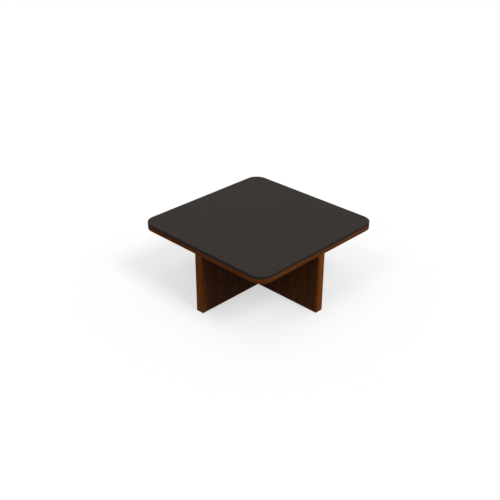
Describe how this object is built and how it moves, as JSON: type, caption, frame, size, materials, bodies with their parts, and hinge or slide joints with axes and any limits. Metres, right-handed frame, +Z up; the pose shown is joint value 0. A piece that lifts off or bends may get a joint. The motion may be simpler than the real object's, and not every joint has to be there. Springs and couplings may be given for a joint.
{
  "type": "center table",
  "caption": "Square center table: a charcoal top with rounded corners over a walnut sub-top, on walnut panels that cross under its middle and leave bays for low seats.",
  "frame": {"origin": "on the floor, under the centre of the top", "axes": "+X and +Y along the sides of the square top, panel B along X and panel A along Y, +Z up"},
  "size_m": [1, 1, 0.43],
  "materials": {
    "charcoal_lacquer": "matte charcoal lacquer on board",
    "walnut_veneer": "satin dark walnut veneer, straight grain",
    "solid_walnut": "satin solid walnut",
    "core_pine": "planed, unfinished",
    "zinc_steel": "zinc plated",
    "insert_brass": "turned brass",
    "glide_nylon": "dark moulded nylon"
  },
  "bodies": {
    "root": {"charcoal_top_board": "charcoal_lacquer", "walnut_subtop_board": "walnut_veneer", "subtop_edge_band": "solid_walnut", "panel_a_left_skin": "walnut_veneer", "panel_a_right_skin": "walnut_veneer", "panel_a_whole_rail": "core_pine", "panel_a_slot_sill": "core_pine", "panel_a_front_half_rail": "core_pine", "panel_a_back_half_rail": "core_pine", "panel_a_front_slot_cheek": "core_pine", "panel_a_back_slot_cheek": "core_pine", "panel_a_front_end_stile": "core_pine", "panel_a_back_end_stile": "core_pine", "panel_a_front_lipping": "solid_walnut", "panel_a_back_lipping": "solid_walnut", "panel_a_insert_1": "insert_brass", "panel_a_machine_screw_1": "zinc_steel", "panel_a_glide_1": "glide_nylon", "panel_a_insert_2": "insert_brass", "panel_a_machine_screw_2": "zinc_steel", "panel_a_glide_2": "glide_nylon", "panel_a_insert_3": "insert_brass", "panel_a_machine_screw_3": "zinc_steel", "panel_a_glide_3": "glide_nylon", "panel_a_insert_4": "insert_brass", "panel_a_machine_screw_4": "zinc_steel", "panel_a_glide_4": "glide_nylon", "panel_b_left_skin": "walnut_veneer", "panel_b_right_skin": "walnut_veneer", "panel_b_whole_rail": "core_pine", "panel_b_slot_sill": "core_pine", "panel_b_front_half_rail": "core_pine", "panel_b_back_half_rail": "core_pine", "panel_b_front_slot_cheek": "core_pine", "panel_b_back_slot_cheek": "core_pine", "panel_b_front_end_stile": "core_pine", "panel_b_back_end_stile": "core_pine", "panel_b_front_lipping": "solid_walnut", "panel_b_back_lipping": "solid_walnut", "panel_b_insert_1": "insert_brass", "panel_b_machine_screw_1": "zinc_steel", "panel_b_glide_1": "glide_nylon", "panel_b_insert_2": "insert_brass", "panel_b_machine_screw_2": "zinc_steel", "panel_b_glide_2": "glide_nylon", "panel_b_insert_3": "insert_brass", "panel_b_machine_screw_3": "zinc_steel", "panel_b_glide_3": "glide_nylon", "panel_b_insert_4": "insert_brass", "panel_b_machine_screw_4": "zinc_steel", "panel_b_glide_4": "glide_nylon", "top_wood_screw_1": "zinc_steel", "top_wood_screw_2": "zinc_steel", "top_wood_screw_3": "zinc_steel", "top_wood_screw_4": "zinc_steel", "top_wood_screw_5": "zinc_steel", "top_wood_screw_6": "zinc_steel", "top_wood_screw_7": "zinc_steel", "top_wood_screw_8": "zinc_steel"}
  },
  "joints": []
}
